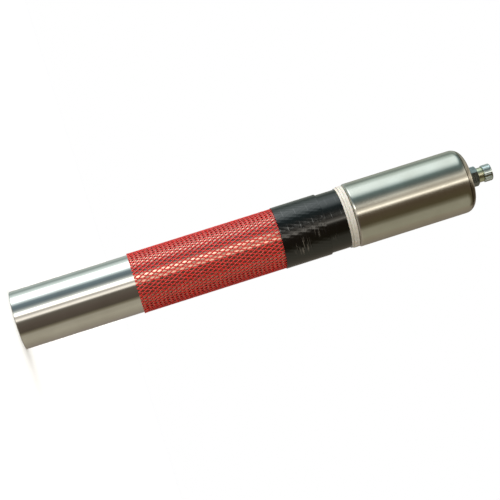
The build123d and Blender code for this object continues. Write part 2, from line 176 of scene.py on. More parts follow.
def mixed(tree: Tree, share: Socket, first: Socket, second: Socket | Colour, **settings: object) -> Socket:
    """Mixes two colours.

    Args:
        tree: The tree that gets the mix.
        share: How much of the second colour there is.
        first: The first colour.
        second: The second colour.
        settings: The node's own properties.

    Returns:
        The mixed colour's socket.
    """
    parts = {"Factor": share, 6: first, 7: second}
    return add_node(tree, "ShaderNodeMix", parts, data_type="RGBA", **settings).outputs[2]


def object_place(tree: Tree) -> Socket:
    """Returns the object's own coordinates, in metres."""
    return add_node(tree, "ShaderNodeTexCoord").outputs["Object"]


def dress(node_name: str, finish: "Finish") -> None:
    """Gives a CAD node its procedural material in every one of its slots.

    Args:
        node_name: The CAD node.
        finish: What its surface is made of.
    """
    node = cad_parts[node_name]
    for material_slot in node.material_slots:
        material_slot.material = finish.material()
    LOG.info("%s: %s", node_name, finish.name)


def softened(corners: list[tuple[float, float, float]], steps: int = 6) -> Outline:
    """Rounds the corners of a closed outline and holds the flats with support points.

    Args:
        corners: Radius, height and rounding of each corner, in order.
        steps: How many short runs make each rounding.

    Returns:
        The closed outline as radius and height.
    """
    points: Outline = []
    count = len(corners)
    for i, (radius, height, rounding) in enumerate(corners):
        here = np.array((radius, height))
        before = np.array(corners[i - 1][:2]) - here
        after = np.array(corners[(i + 1) % count][:2]) - here
        before_length, after_length = np.linalg.norm(before), np.linalg.norm(after)
        before, after = before / before_length, after / after_length
        half = math.acos(float(np.clip(before @ after, -1, 1))) / 2
        reach = rounding / math.tan(half)
        centre = here + (before + after) / np.linalg.norm(before + after) * rounding / math.sin(half)
        first, last = here + before * reach - centre, here + after * reach - centre
        sweep = math.pi - 2 * half
        hold = min(HOLD_MM, rounding / 3)
        if before_length > reach + hold:
            points.append(tuple(here + before * (reach + hold)))
        for k in range(steps + 1):
            share = k / steps
            spot = (
                first * math.sin((1 - share) * sweep) + last * math.sin(share * sweep)
            ) / math.sin(sweep)
            points.append(tuple(centre + spot))
        if after_length > reach + hold:
            points.append(tuple(here + after * (reach + hold)))
    return points


def turned_piece(
    name: str,
    outline: Outline,
    finish: "Finish",
    body: str,
    stands_for: str,
    segments: int = 192,
    shape: Shape | None = None,
    sharp_angle: float = SHARP_DEG,
) -> bpy.types.Object:
    """Turns a closed outline about Z into a solid piece and hands it to the frame.

    Args:
        name: The new piece's name.
        outline: Closed loop of radius and height, in millimetres.
        finish: What the surface is made of.
        body: The CAD body that carries it.
        stands_for: The CAD node that it stands for.
        segments: Steps round the axis.
        shape: Optional change of radius and height from azimuth, radius and height.
        sharp_angle: Edges sharper than this many degrees stay crisp.

    Returns:
        The finished piece.
    """
    azimuth = np.arange(segments) * TURN / segments
    radius = np.repeat(np.array([p[0] for p in outline])[:, None], segments, axis=1)
    height = np.repeat(np.array([p[1] for p in outline])[:, None], segments, axis=1)
    if shape:
        radius, height = shape(np.broadcast_to(azimuth, radius.shape), radius, height)
    spots = np.stack([radius * np.cos(azimuth), radius * np.sin(azimuth), height], axis=-1) * MM
    rows = len(outline)
    i, j = np.meshgrid(np.arange(rows), np.arange(segments), indexing="ij")
    up, on = (i + 1) % rows, (j + 1) % segments
    quads = np.stack([i * segments + j, i * segments + on, up * segments + on, up * segments + j], axis=-1)
    mesh = bpy.data.meshes.new(name)
    mesh.from_pydata(spots.reshape(-1, 3).tolist(), [], quads.reshape(-1, 4).tolist())
    work = bmesh.new()
    work.from_mesh(mesh)
    bmesh.ops.remove_doubles(work, verts=work.verts, dist=WELD)
    bmesh.ops.dissolve_degenerate(work, edges=work.edges, dist=WELD)
    bmesh.ops.recalc_face_normals(work, faces=work.faces)
    work.to_mesh(mesh)
    work.free()
    return hand_over(name, mesh, finish, body, stands_for, sharp_angle)


def hand_over(
    name: str,
    mesh: bpy.types.Mesh,
    finish: "Finish",
    body: str,
    stands_for: str,
    sharp_angle: float = SHARP_DEG,
) -> bpy.types.Object:
    """Makes a finished mesh a piece of the object, riding on its body.

    Args:
        name: The piece's name.
        mesh: Its mesh, in place, in metres.
        finish: What the surface is made of.
        body: The CAD body that carries it.
        stands_for: The CAD node that it stands for.
        sharp_angle: Edges sharper than this many degrees stay crisp.

    Returns:
        The piece.
    """
    mesh.materials.clear()
    mesh.materials.append(finish.material())
    mesh.polygons.foreach_set("use_smooth", [True] * len(mesh.polygons))
    mesh.set_sharp_from_angle(angle=math.radians(sharp_angle))
    piece = bpy.data.objects.new(name, mesh)
    bpy.context.scene.collection.objects.link(piece)
    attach(piece, body)
    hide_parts(stands_for)
    LOG.info("%s: %s, %d faces", name, finish.name, len(mesh.polygons))
    return piece


# ---------------------------------------------------------------- finishes


@dataclass(frozen=True)
class Finish:
    """A real material and the process that left its surface."""

    name: str

    def material(self) -> bpy.types.Material:
        """Gives the finish's material, made the first time that it is asked for.

        Returns:
            The material.
        """
        made = bpy.data.materials.get(self.name)
        if made is None:
            made = bpy.data.materials.new(self.name)
            made.use_nodes = True
            made.node_tree.nodes.clear()
            surface = self.surface(made.node_tree)
            add_node(made.node_tree, "ShaderNodeOutputMaterial", {"Surface": surface})
        return made

    def surface(self, tree: Tree) -> Socket:
        """Builds the surface's shader and returns its output socket."""
        raise NotImplementedError

    def place(self, tree: Tree, across_mm: float, along_mm: float) -> Socket:
        """Gives object coordinates scaled so that one noise unit is a real size.

        Args:
            tree: The material's tree.
            across_mm: Size of one pattern unit across the axis.
            along_mm: Size of one pattern unit along the axis.

        Returns:
            The scaled coordinates.
        """
        across, along = 1 / (across_mm * MM), 1 / (along_mm * MM)
        size = {"Vector": object_place(tree), "Scale": (across, across, along)}
        scaled = add_node(tree, "ShaderNodeMapping", size)
        return scaled.outputs["Vector"]

    def noise(self, tree: Tree, across_mm: float, along_mm: float, detail: float = 2.0) -> Socket:
        """Makes a noise value whose features have the given real sizes.

        Args:
            tree: The material's tree.
            across_mm: Size of one feature across the axis.
            along_mm: Size of one feature along the axis.
            detail: How many finer layers lie over it.

        Returns:
            The noise value.
        """
        where = self.place(tree, across_mm, along_mm)
        made = add_node(tree, "ShaderNodeTexNoise", {"Vector": where, "Scale": 1.0, "Detail": detail})
        return made.outputs["Fac"]

    def blended(self, tree: Tree, share: Socket, light: str, dark: str) -> Socket:
        """Blends two colours by a noise value.

        Args:
            tree: The material's tree.
            share: The noise value.
            light: The colour where it is low.
            dark: The colour where it is high.

        Returns:
            The blended colour.
        """
        spread = remapped(tree, share, NOISE_SPAN, (0.0, 1.0))
        stops = [(0.0, light), (1.0, dark)]
        return add_node(tree, "ShaderNodeValToRGB", {"Fac": spread}, stops=stops).outputs["Color"]

    def raised(self, tree: Tree, height: Socket, depth_mm: float) -> Socket:
        """Turns a noise value into fine relief.

        Args:
            tree: The material's tree.
            height: The noise value.
            depth_mm: The relief's depth.

        Returns:
            The surface's direction.
        """
        relief = {"Height": height, "Strength": BUMP_STRENGTH, "Distance": depth_mm * MM}
        return add_node(tree, "ShaderNodeBump", relief).outputs["Normal"]


@dataclass(frozen=True)
class TurnedMetal(Finish):
    """Metal turned or ground about the axis, then polished as far as its roughness says.

    Fine rings run round the part, so a highlight along it is broken a little; handling leaves
    faint scratches along it and a cloudy change of polish.
    """

    light: str
    dark: str
    roughness: float
    roughness_spread: float
    ring_pitch_mm: float
    ring_depth_mm: float
    cloud_mm: float = 30.0
    scratches: float = 0.0
    ring_arc_mm: float = 90.0
    scratch_width_mm: float = 1.2
    scratch_length_mm: float = 45.0

    def surface(self, tree: Tree) -> Socket:
        """Builds a metal with ring marks, cloudy polish and scratches.

        Args:
            tree: The material's tree.

        Returns:
            The shader's output.
        """
        colour = self.colour(tree)
        rings = self.noise(tree, self.ring_arc_mm, self.ring_pitch_mm)
        dullest = self.roughness + self.roughness_spread
        rough = remapped(tree, rings, NOISE_SPAN, (self.roughness, dullest))
        if self.scratches:
            marks = self.noise(tree, self.scratch_width_mm, self.scratch_length_mm, detail=1.0)
            scored = remapped(tree, marks, SCRATCH_SPAN, (0.0, self.scratches))
            rough = calculated(tree, "ADD", rough, scored)
        normal = self.raised(tree, rings, self.ring_depth_mm)
        looks = {"Base Color": colour, "Metallic": 1.0, "Roughness": rough, "Normal": normal}
        return add_node(tree, "ShaderNodeBsdfPrincipled", looks).outputs["BSDF"]

    def colour(self, tree: Tree) -> Socket:
        """Blends the metal's two colours in soft clouds."""
        clouds = self.noise(tree, self.cloud_mm, self.cloud_mm)
        return self.blended(tree, clouds, self.light, self.dark)


@dataclass(frozen=True)
class MetalWithPaintedBand(TurnedMetal):
    """Turned metal with a band of painted light: a red reflection that a sleeve throws on the steel, or
    painted shade in a seam.
    """

    painted_light_tint: str = "#ffffff"
    band_bottom_mm: float = 0.0
    band_top_mm: float = 0.0

    def colour(self, tree: Tree) -> Socket:
        """Tints the metal in the band with painted light.

        Args:
            tree: The material's tree.

        Returns:
            The tinted colour.
        """
        height = add_node(tree, "ShaderNodeSeparateXYZ", {"Vector": object_place(tree)}).outputs["Z"]
        middle = (self.band_bottom_mm + self.band_top_mm) / 2 * MM
        half = (self.band_top_mm - self.band_bottom_mm) / 2 * MM
        in_painted_band = calculated(tree, "COMPARE", height, middle, half)
        tint = linear(self.painted_light_tint)
        return mixed(tree, in_painted_band, super().colour(tree), tint, blend_type="MULTIPLY")


@dataclass(frozen=True)
class Plastic(Finish):
    """Moulded, extruded or cast plastic or rubber.

    A faint mottle, a soft change of gloss and a fine skin texture keep it from looking like
    flat paint.
    """

    light: str
    dark: str
    roughness: float
    roughness_spread: float
    grain_mm: float
    grain_depth_mm: float
    ior: float = 1.5
    mottle_mm: float = 12.0
    coat: float = 0.0
    scatter: float = 0.0
    coat_roughness: float = 0.12
    scatter_reach: tuple[float, float, float] = (0.004, 0.002, 0.001)

    def surface(self, tree: Tree) -> Socket:
        """Builds a plastic with a mottle, a change of gloss and a skin texture.

        Args:
            tree: The material's tree.

        Returns:
            The shader's output.
        """
        mottle = self.noise(tree, self.mottle_mm, self.mottle_mm, detail=3.0)
        colour = self.colour(tree, mottle)
        grain = self.noise(tree, self.grain_mm, self.grain_mm)
        dullest = self.roughness + self.roughness_spread
        rough = remapped(tree, mottle, NOISE_SPAN, (self.roughness, dullest))
        looks = {
            "Base Color": colour, "Roughness": rough, "IOR": self.ior,
            "Normal": self.raised(tree, grain, self.grain_depth_mm),
            "Coat Weight": self.coat, "Coat Roughness": self.coat_roughness,
            "Subsurface Weight": self.scatter, "Subsurface Radius": self.scatter_reach,
            "Subsurface Scale": 1.0,
        }
        return add_node(tree, "ShaderNodeBsdfPrincipled", looks).outputs["BSDF"]

    def colour(self, tree: Tree, mottle: Socket) -> Socket:
        """Blends the plastic's two colours by its mottle."""
        return self.blended(tree, mottle, self.light, self.dark)


@dataclass(frozen=True)
class CreaseHighlight:
    """A place on the tape where painted highlights run along fine creases, in millimetres on the object."""

    radius: float
    azimuth_deg: float
    height: float
    reach: float
    core: float = 0.35  # share of the reach where the painted highlights are at full strength

    @property
    def centre(self) -> tuple[float, float, float]:
        """The middle of the place with painted highlights.

        Returns:
            X, Y and Z in metres.
        """
        turn = math.radians(self.azimuth_deg)
        x, y = self.radius * math.cos(turn), self.radius * math.sin(turn)
        return (x * MM, y * MM, self.height * MM)


@dataclass(frozen=True)
class TapeWithPaintedHighlights(Plastic):
    """Tape with painted highlights: pale streaks along the fine creases of a few crumpled places, where the
    creases catch the light.
    """

    painted_highlight: str = "#736e66"
    crease_width_mm: float = 1.6
    crease_length_mm: float = 22.0
    crease_highlights: tuple[CreaseHighlight, ...] = ()

    def colour(self, tree: Tree, mottle: Socket) -> Socket:
        """Adds the painted crease highlights to the tape's black.

        Args:
            tree: The material's tree.
            mottle: The tape's mottle.

        Returns:
            The colour with painted highlights.
        """
        folds = self.noise(tree, self.crease_length_mm, self.crease_width_mm, detail=0.0)
        lines = remapped(tree, folds, CREASE_HIGHLIGHT_SPAN, (0.0, 1.0))
        where = object_place(tree)
        highlighted: Socket | float = 0.0
        for crease in self.crease_highlights:
            apart = vector_step(tree, "DISTANCE", {0: where, 1: crease.centre}, "Value")
            reach = (crease.core * crease.reach * MM, crease.reach * MM)
            near = remapped(tree, apart, reach, (1.0, 0.0))
            highlighted = calculated(tree, "MAXIMUM", near, highlighted)
        amount = calculated(tree, "MULTIPLY", lines, highlighted)
        return mixed(tree, amount, super().colour(tree, mottle), linear(self.painted_highlight))


# Stainless tube, ground and polished: clear, slightly streaked reflections, and under the
# netting a painted reflection: a red tint that stands in for the red light the strands throw on the steel.
POLISHED_TUBE_PAINTED_REFLECTION = MetalWithPaintedBand(
    "stainless_tube_polished_painted_reflection", "#e6e6e2", "#dcdbd6", 0.07, 0.04, 1.6, 0.001, 40.0, 0.04,
    painted_light_tint="#f5c9b8", band_bottom_mm=182.5, band_top_mm=474.5,
)
# Stainless steel, fine turned and satin polished: softer reflections with closely spaced rings,
# and painted shade: a thin dark band along the edge where the cap's seam is.
SATIN_HEAD_PAINTED_SEAM_SHADE = MetalWithPaintedBand(
    "stainless_head_satin_turned_painted_seam_shade", "#d8d6ce", "#cecbc2", 0.12, 0.05, 1.1, 0.002, 35.0, 0.03,
    painted_light_tint="#80766a", band_bottom_mm=699.4, band_top_mm=699.9,
)
# The same steel on the cap, rougher: its darker colour is painted shade for the dim light over the cap,
# with painted shade along the seam.
CAP_PAINTED_SHADE = MetalWithPaintedBand(
    "stainless_cap_ground_painted_shade", "#b4b0a5", "#958f83", 0.14, 0.1, 0.9, 0.004, 7.0, 0.06,
    painted_light_tint="#80766a", band_bottom_mm=700.0, band_top_mm=700.5,
)
# Polyethylene netting, extruded: saturated red with a waxy gloss.
NETTING = Plastic(
    "polyethylene_netting_extruded", "#f0241a", "#de1a10", 0.2, 0.1, 0.8, 0.03,
    ior=1.8, coat=0.5, scatter=0.05,
)
# Vinyl tape, calendered: deep black under a clear gloss, with painted highlights as pale streaks along
# creases at a few places.
TAPE_WITH_PAINTED_HIGHLIGHTS = TapeWithPaintedHighlights(
    "vinyl_tape_calendered_painted_highlights", "#050506", "#0a0a0a", 0.08, 0.06, 2.2, 0.008, ior=1.7,
    crease_highlights=(
        # the places that get painted highlights along their creases
        CreaseHighlight(47.2, -62, 434.0, 17.0),
        CreaseHighlight(47.2, -80, 464.0, 10.0),
        CreaseHighlight(45.4, -58, 487.0, 7.0),
        CreaseHighlight(47.2, 70, 450.0, 15.0),
    ),
)
# Polyamide, turned from cast rod: warm cream and slightly see-through at the edges.
CREAM_RING = Plastic(
    "polyamide_ring_cast", "#e9e5dc", "#dcd6c9", 0.38, 0.12, 0.7, 0.02, mottle_mm=9.0, scatter=0.1
)
# Alloy tool steel, hardened and ground: dark grey with fine rings.
TOOL_STEEL = TurnedMetal("tool_steel_hardened_ground", "#8f9192", "#77797a", 0.26, 0.12, 0.9, 0.004)
# Leaded tin bronze, cast and bored: warm brown gold with turning rings.
BRONZE = TurnedMetal("tin_bronze_cast_bored", "#b0834a", "#96693a", 0.28, 0.12, 1.0, 0.005)
# Carbon steel, bored and honed: mid grey with a faint oily cloud.
HONED_STEEL = TurnedMetal("carbon_steel_bored_honed", "#a9abab", "#8e908f", 0.2, 0.1, 0.8, 0.003)
# Spring steel, hardened and blued: dark blue grey.
SPRING_STEEL = TurnedMetal("spring_steel_blued", "#4d5561", "#3c4048", 0.24, 0.12, 0.8, 0.002)
# Nitrile rubber, moulded: matt black with a fine skin.
RUBBER = Plastic("nitrile_rubber_moulded", "#1b1b1b", "#242322", 0.55, 0.15, 0.6, 0.03)
# Polyurethane, cast: amber with a soft gloss.
POLYURETHANE = Plastic("polyurethane_cast", "#b8812f", "#a26d22", 0.4, 0.12, 1.0, 0.02, scatter=0.1)
# Steel, zinc plated and dark passivated: grey with a blue cast.
DARK_ZINC = TurnedMetal("steel_zinc_dark_passivated", "#8d9695", "#6f7878", 0.16, 0.12, 0.9, 0.006, 5.0)
# Steel, zinc plated and yellow passivated: pale yellow green.
YELLOW_ZINC = TurnedMetal("steel_zinc_yellow_passivated", "#dadbc2", "#c0c4a8", 0.18, 0.14, 0.7, 0.004, 4.0)
# Brass, bright nickel plated: clear, slightly cold reflections.
NICKEL = TurnedMetal("brass_nickel_plated", "#dde8ea", "#c6d2d4", 0.06, 0.05, 0.9, 0.002, 6.0)
# Bronze powder, sintered: matt, grainy and brown.
SINTERED = TurnedMetal("bronze_powder_sintered", "#9a7a4f", "#7d5f3a", 0.5, 0.2, 0.6, 0.05, 1.0)
# Painted studio floor, rolled: matt, nearly white, with a trace of the roller's texture.
FLOOR = Plastic("floor_paint_rolled", "#fbfbfa", "#f8f8f6", 0.7, 0.1, 8.0, 0.1, mottle_mm=400.0)


@dataclass
class DressedPieces:
    """A sub-assembly whose CAD pieces keep their shapes and get a finish each."""

    finishes: dict[str, Finish]

    def build(self) -> None:
        """Dresses every piece."""
        for node_name, finish in self.finishes.items():
            dress(node_name, finish)


# ---------------------------------------------------------------- barrel and grip


@dataclass
class Barrel(DressedPieces):
    """The heavy tube that slips over the post."""

    finishes: dict[str, Finish] = field(default_factory=lambda: {"barrel_tube": POLISHED_TUBE_PAINTED_REFLECTION})


class Lean(Enum):
    """Which way a family of strands leans."""

    LEFT = "left"
    RIGHT = "right"


@dataclass
class StrandFamily:
    """One layer of parallel strands of the netting."""

    lean: Lean
    lean_deg: float
    centre_radius: float
    strand_height: float

    @property
    def slope(self) -> float:
        """Radians that a strand goes round the tube for each millimetre along it."""
        return math.tan(math.radians(self.lean_deg)) / self.centre_radius


@dataclass
class Netting:
    """Extruded diamond netting, pulled over the tube as a sleeve."""

    bottom: float = 182.5
    top: float = 474.5
    strands: int = 50
    strand_width: float = 1.7
    strand_sides: int = 8
    sharp_angle: float = 75.0
    wander: float = 0.35
    wander_length: float = 14.0
    flare: float = 0.35
    flare_height: float = 6.0
    step: float = 4.0
    seed: int = 7
    inner: StrandFamily = field(default_factory=lambda: StrandFamily(Lean.RIGHT, 21.4, 44.95, 0.85))
    outer: StrandFamily = field(default_factory=lambda: StrandFamily(Lean.LEFT, 26.0, 45.8, 1.0))

    def tree(self) -> Tree:
        """Builds the tree that winds one family of strands.

        Returns:
            The Geometry Nodes tree, with named inputs for its sizes.
        """
        tree = bpy.data.node_groups.new("netting_strands", "GeometryNodeTree")
        face = tree.interface
        face.new_socket("Geometry", in_out="OUTPUT", socket_type="NodeSocketGeometry")
        for name, kind in (
            ("Geometry", "Geometry"), ("Strands", "Int"), ("Points Per Turn", "Int"),
            ("Turns", "Float"), ("Winds Forward", "Bool"), ("Length", "Float"), ("Start", "Float"),
            ("Centre Radius", "Float"), ("Strand Height", "Float"), ("Strand Width", "Float"),
            ("Wander", "Float"), ("Flare", "Float"), ("Seed", "Float"), ("Material", "Material"),
        ):
            face.new_socket(name, in_out="INPUT", socket_type=f"NodeSocket{kind}")
        given = add_node(tree, "NodeGroupInput").outputs
        spiral = add_node(
            tree, "GeometryNodeCurveSpiral",
            {
                "Resolution": given["Points Per Turn"], "Rotations": given["Turns"],
                "Start Radius": given["Centre Radius"], "End Radius": given["Centre Radius"],
                "Height": given["Length"], "Reverse": given["Winds Forward"],
            },
        ).outputs["Curve"]
        seats = add_node(tree, "GeometryNodePoints", {"Count": given["Strands"]}).outputs[0]
        index = add_node(tree, "GeometryNodeInputIndex").outputs["Index"]
        share = calculated(tree, "DIVIDE", index, given["Strands"])
        turn = calculated(tree, "MULTIPLY", share, TURN)
        spin = add_node(tree, "ShaderNodeCombineXYZ", {"Z": turn}).outputs["Vector"]
        placed = add_node(
            tree, "GeometryNodeInstanceOnPoints",
            {"Points": seats, "Instance": spiral, "Rotation": spin},
        ).outputs["Instances"]
        lines = add_node(tree, "GeometryNodeRealizeInstances", {"Geometry": placed})
        laid = add_node(
            tree, "GeometryNodeSetPosition",
            {"Geometry": lines.outputs["Geometry"], "Offset": self.shift(tree, given)},
        ).outputs["Geometry"]
        upright = add_node(tree, "GeometryNodeSetCurveNormal", {"Curve": laid}, mode="Z_UP")
        section = add_node(
            tree, "GeometryNodeCurvePrimitiveCircle", {"Resolution": self.strand_sides, "Radius": 0.5}
        ).outputs["Curve"]
        oval = add_node(
            tree, "ShaderNodeCombineXYZ",
            {"X": given["Strand Height"], "Y": given["Strand Width"], "Z": 1.0},
        ).outputs["Vector"]
        pressed = add_node(tree, "GeometryNodeTransform", {"Geometry": section, "Scale": oval})
        drawn = add_node(
            tree, "GeometryNodeCurveToMesh",
            {
                "Curve": upright.outputs["Curve"], "Profile Curve": pressed.outputs["Geometry"],
                "Fill Caps": True,
            },
        ).outputs["Mesh"]
        whole = add_node(tree, "GeometryNodeRealizeInstances", {"Geometry": drawn}).outputs["Geometry"]
        coloured = add_node(
            tree, "GeometryNodeSetMaterial", {"Geometry": whole, "Material": given["Material"]}
        )
        add_node(tree, "NodeGroupOutput", {0: coloured.outputs["Geometry"]})
        return tree

    def shift(self, tree: Tree, given: bpy.types.NodeOutputs) -> Socket:
        """Lifts the strands to their place, lets them sway and flares them at the lower end.

        Args:
            tree: The tree that winds strands.
            given: The tree's own inputs.

        Returns:
            How far each point moves.
        """
        spot = add_node(tree, "GeometryNodeInputPosition").outputs["Position"]
        flat = vector_step(tree, "MULTIPLY", {0: spot, 1: (1.0, 1.0, 0.0)})
        outward = vector_step(tree, "NORMALIZE", {0: flat})
        around = vector_step(tree, "CROSS_PRODUCT", {0: (0.0, 0.0, 1.0), 1: outward})
        scale = 1 / (self.wander_length * MM)
        sway = add_node(
            tree, "ShaderNodeTexNoise",
            {"Vector": spot, "W": given["Seed"], "Scale": scale, "Detail": 1.0},
            noise_dimensions="4D",
        ).outputs["Fac"]
        amount = calculated(tree, "MULTIPLY", calculated(tree, "SUBTRACT", sway, 0.5), given["Wander"])
        swayed = vector_step(tree, "SCALE", {0: around, "Scale": amount})
        height = add_node(tree, "ShaderNodeSeparateXYZ", {"Vector": spot}).outputs["Z"]
        edge = remapped(
            tree, height, (0.0, self.flare_height * MM), (1.0, 0.0), interpolation_type="SMOOTHSTEP"
        )
        flared = vector_step(
            tree, "SCALE", {0: outward, "Scale": calculated(tree, "MULTIPLY", edge, given["Flare"])}
        )
        start = add_node(tree, "ShaderNodeCombineXYZ", {"Z": given["Start"]}).outputs["Vector"]
        return vector_step(tree, "ADD", {0: vector_step(tree, "ADD", {0: swayed, 1: flared}), 1: start})

    def family_mesh(self, tree: Tree, family: StrandFamily) -> bpy.types.Mesh:
        """Winds one family and returns it as a plain mesh.

        Args:
            tree: The tree that winds strands.
            family: The family to wind.

        Returns:
            The strands' mesh, in metres, in place.
        """
        length = self.top - self.bottom
        turns = length * family.slope / TURN
        carrier = bpy.data.objects.new("strand_carrier", bpy.data.meshes.new("strand_carrier"))
        bpy.context.scene.collection.objects.link(carrier)
        winder = carrier.modifiers.new("strands", "NODES")
        winder.node_group = tree
        values = {
            "Strands": self.strands, "Points Per Turn": round(length / self.step / turns),
            "Turns": turns, "Winds Forward": family.lean is Lean.RIGHT,
            "Length": length * MM, "Start": self.bottom * MM,
            "Centre Radius": family.centre_radius * MM,
            "Strand Height": family.strand_height * MM, "Strand Width": self.strand_width * MM,
            "Wander": self.wander * 2 * MM, "Flare": self.flare * MM,
            "Seed": float(self.seed), "Material": NETTING.material(),
        }
        for item in tree.interface.items_tree:
            if item.in_out == "INPUT" and item.name in values:
                winder[item.identifier] = values[item.name]
        evaluated = carrier.evaluated_get(bpy.context.evaluated_depsgraph_get())
        mesh = bpy.data.meshes.new_from_object(evaluated)
        bpy.data.objects.remove(carrier)
        return mesh

    def build(self) -> None:
        """Winds both families and joins them as one piece."""
        tree = self.tree()
        work = bmesh.new()
        for family in (self.inner, self.outer):
            mesh = self.family_mesh(tree, family)
            work.from_mesh(mesh)
            bpy.data.meshes.remove(mesh)
        bmesh.ops.recalc_face_normals(work, faces=work.faces)
        whole = bpy.data.meshes.new("netting_strands")
        work.to_mesh(whole)
        work.free()
        hand_over(
            "netting_strands", whole, NETTING, "barrel", "netting_sleeve",
            self.sharp_angle,
        )


@dataclass
class Wrinkle:
    """A short ridge that runs round the tape."""

    height: float
    azimuth_deg: float
    reach_deg: float
    width: float
    rise: float
    bow: float = 0.8  # how far its line sways up and down
    bow_waves: int = 9  # and how often, round the whole tape
    fade: float = 0.3  # how much of its rise comes and goes
    fade_waves: int = 37  # and how often, round the whole tape

    def relief(self, azimuth: np.ndarray, height: np.ndarray) -> np.ndarray:
        """Works out how far the ridge stands out.

        Args:
            azimuth: Azimuths in radians, from +X towards +Y.
            height: Heights in millimetres.

        Returns:
            The rise in millimetres.
        """
        apart = (azimuth - math.radians(self.azimuth_deg) + math.pi) % TURN - math.pi
        strength = np.exp(-((apart / math.radians(self.reach_deg)) ** 2))
        coming = np.sin(azimuth * self.fade_waves + self.height * 2)
        strength = strength * (1 - self.fade + self.fade * coming)
        bow = self.bow * np.sin(azimuth * self.bow_waves + self.height)
        along = (height - self.height - bow) / self.width
        return self.rise * strength * np.exp(-(along**2))


@dataclass
class TapeWrap:
    """Black tape wound round the tube in one band."""

    name: str
    stands_for: str
    bottom: float
    top: float
    inner_radius: float
    outer_radius: float
    bottom_tilt: float = 0.0
    emboss: float = 0.0
    inner_emboss: float = 1.0
    outer_emboss: float = 0.35
    gap_depth: float = -0.3  # the tape bridges the gaps, so the relief of the strands stops here
    netting: Netting = field(default_factory=Netting)
    wrinkles: tuple[Wrinkle, ...] = ()
    lap_pitch: float = 0.0
    lap_rise: float = 0.0
    lip: float = 0.25
    lip_share: float = 0.3
    end_fade: float = 2.5
    row_step: float = 0.42
    segments: int = 350
    sharp_angle: float = 50.0

    def relief(self, azimuth: np.ndarray, height: np.ndarray) -> np.ndarray:
        """Works out how far the tape stands out over its smooth surface.

        Args:
            azimuth: Azimuths in radians, from +X towards +Y.
            height: Heights in millimetres.

        Returns:
            The relief in millimetres.
        """
        total = np.zeros_like(height)
        if self.emboss:
            shown = ((self.netting.inner, self.inner_emboss), (self.netting.outer, self.outer_emboss))
            for family, weight in shown:
                sign = -1 if family.lean is Lean.LEFT else 1
                wound = sign * family.slope * (height - self.netting.bottom)
                ribs = np.maximum(np.cos(self.netting.strands * (azimuth - wound)), self.gap_depth)
                total += self.emboss * weight * ribs
        for ridge in self.wrinkles:
            total += ridge.relief(azimuth, height)
        if self.lap_rise:
            laps = (height - self.bottom) / self.lap_pitch - azimuth / TURN
            total += self.lap_rise * (0.5 - (laps % 1.0))
        ends = np.minimum(height - self.bottom, self.top - height) / self.end_fade
        return total * np.clip(ends, 0.0, 1.0)

    def build(self) -> None:
        """Builds the band and its relief."""
        rows = int((self.top - self.bottom) / self.row_step)
        radius, nick = self.outer_radius, self.lip * self.lip_share
        inside = [(self.inner_radius, self.top), (self.inner_radius, self.bottom)]
        outside = [(radius - self.lip, self.bottom), (radius - nick, self.bottom + nick)]
        span = self.top - self.bottom - 2 * self.lip
        outside += [(radius, self.bottom + self.lip + span * k / rows) for k in range(rows + 1)]
        outside += [(radius - nick, self.top - nick), (radius - self.lip, self.top)]
        is_outside = np.array([False] * len(inside) + [True] * len(outside))[:, None]

        def shape(
            azimuth: np.ndarray, radius: np.ndarray, height: np.ndarray
        ) -> tuple[np.ndarray, np.ndarray]:
            """Adds the relief to the outside and tilts the lower edge.

            Args:
                azimuth: Azimuths in radians.
                radius: Radii in millimetres.
                height: Heights in millimetres.

            Returns:
                The new radii and heights.
            """
            swollen = radius + np.where(is_outside, self.relief(azimuth, height), 0.0)
            near_bottom = (self.top - height) / (self.top - self.bottom)
            return swollen, height - self.bottom_tilt * np.cos(azimuth) * near_bottom

        turned_piece(
            self.name, inside + outside, TAPE_WITH_PAINTED_HIGHLIGHTS, "barrel", self.stands_for,
            self.segments, shape, self.sharp_angle,
        )


@dataclass
class Grip:
    """Netting and tape that give the hands a hold on the tube."""

    netting: Netting = field(default_factory=Netting)

    def build(self) -> None:
        """Builds the netting and both bands of tape."""
        self.netting.build()
        TapeWrap(
            "tape_over_netting", "grip_tape_lower", 406.6, 477.0, 46.75, 47.25,
            bottom_tilt=1.3, emboss=0.055, netting=self.netting,
            wrinkles=(
                Wrinkle(427.6, -62, 14, 0.7, 0.44),
                Wrinkle(431.4, -58, 15, 0.6, 0.44),
                Wrinkle(434.6, -64, 14, 0.7, 0.42),
                Wrinkle(439.8, -60, 15, 0.7, 0.42),
                Wrinkle(447.5, -56, 12, 0.8, 0.34),
                Wrinkle(442.5, -88, 6, 0.6, 0.26),
                Wrinkle(453.7, -86, 8, 0.6, 0.28),
                Wrinkle(458.2, -84, 7, 0.6, 0.24),
                Wrinkle(463.5, -85, 8, 0.7, 0.3),
                Wrinkle(469.0, -84, 9, 0.7, 0.3),
                Wrinkle(474.4, -82, 16, 0.7, 0.22),
                Wrinkle(452.0, 60, 30, 1.0, 0.3),
                Wrinkle(444.0, 150, 34, 1.1, 0.3),
            ),
            lap_pitch=19.0, lap_rise=0.06,
        ).build()
        TapeWrap(
            "tape_on_tube", "grip_tape_upper", 477.0, 508.0, 44.55, 45.45,
            wrinkles=(Wrinkle(486.0, -58, 8, 0.8, 0.2), Wrinkle(489.0, -64, 6, 0.7, 0.18)),
            lap_pitch=15.0, lap_rise=0.04,
        ).build()


# ---------------------------------------------------------------- rings and head


